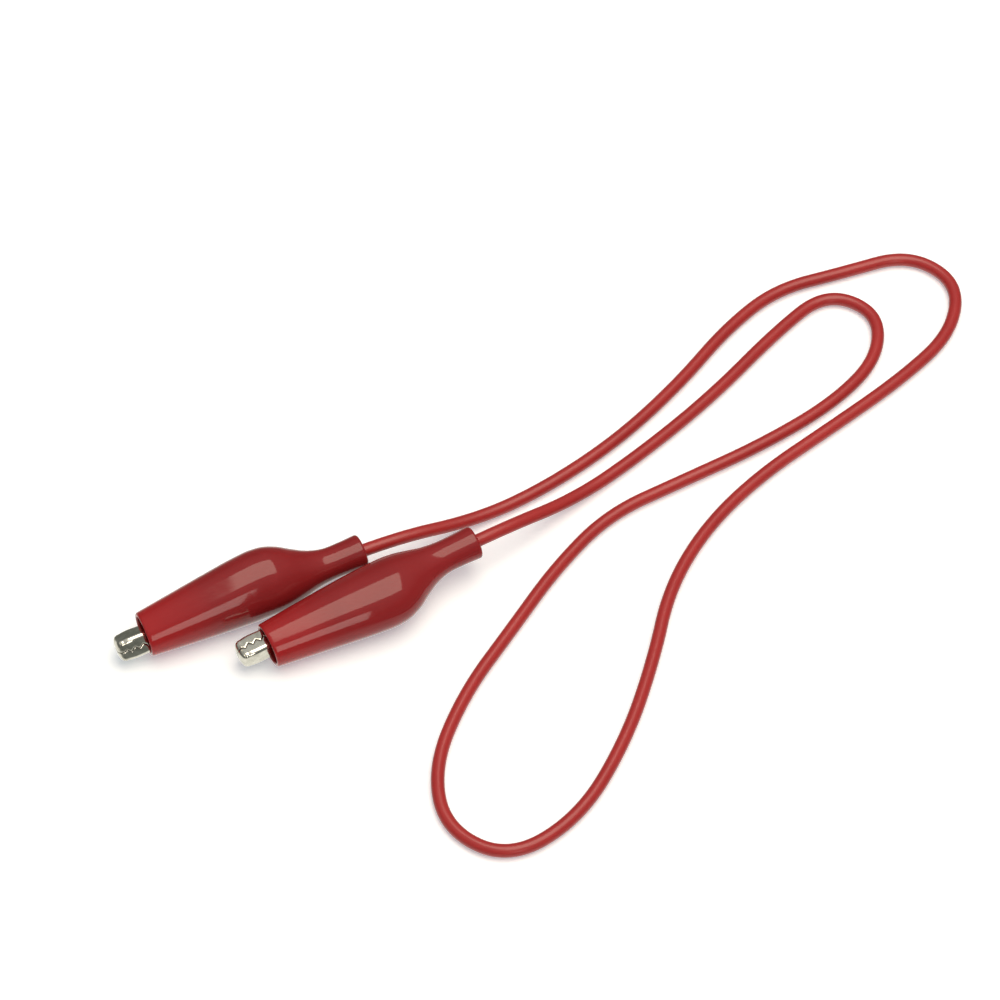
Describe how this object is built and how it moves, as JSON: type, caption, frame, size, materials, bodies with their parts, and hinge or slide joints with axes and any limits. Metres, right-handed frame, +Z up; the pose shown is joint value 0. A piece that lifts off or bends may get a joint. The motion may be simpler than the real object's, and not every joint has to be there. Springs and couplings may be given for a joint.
{
  "type": "alligator clip lead",
  "caption": "Flexible insulated test lead with a sprung, toothed alligator clip in a soft flared boot on each end; both jaws open and close.",
  "frame": {"origin": "on the surface that the lead lies on, under the middle of the box round the two clips, the cord left out", "axes": "+Z up from the surface, +X along the longer side of the two clips, from their tips towards their necks, +Y across them"},
  "size_m": [0.1292, 0.1109, 0.0103],
  "materials": {
    "nickel_steel": "bright nickel plate over stamped steel",
    "rivet_steel": "nickel-plated rivet",
    "spring_steel": "drawn spring wire",
    "boot_vinyl": "glossy soft red vinyl",
    "cord_vinyl": "satin flexible red vinyl",
    "tinned_copper": "tinned copper strands"
  },
  "bodies": {
    "lead": {"clip_a_lower_jaw": "nickel_steel", "clip_a_pivot_rivet": "rivet_steel", "clip_a_spring": "spring_steel", "clip_a_boot": "boot_vinyl", "clip_b_lower_jaw": "nickel_steel", "clip_b_pivot_rivet": "rivet_steel", "clip_b_spring": "spring_steel", "clip_b_boot": "boot_vinyl", "cord_jacket": "cord_vinyl", "cord_conductor": "tinned_copper"},
    "clip_a_jaw": {"clip_a_upper_jaw": "nickel_steel"},
    "clip_b_jaw": {"clip_b_upper_jaw": "nickel_steel"}
  },
  "joints": [
    {"name": "clip_a_jaw_hinge", "type": "hinge", "parent": "lead", "child": "clip_a_jaw", "pos_m": [-0.01267, -0.00207, 0.0037], "axis": [-0.3567, 0.8079, -0.4691], "range_deg": [0, 25], "stiffness_Nm_per_rad": 0.1, "springref_deg": -34.38, "deforming": ["clip_a_spring", "clip_a_boot"]},
    {"name": "clip_b_jaw_hinge", "type": "hinge", "parent": "lead", "child": "clip_b_jaw", "pos_m": [0.0048, -0.00246, 0.00424], "axis": [-0.0552, -0.03, 0.998], "range_deg": [0, 25], "stiffness_Nm_per_rad": 0.1, "springref_deg": -34.38, "deforming": ["clip_b_spring", "clip_b_boot"]}
  ]
}
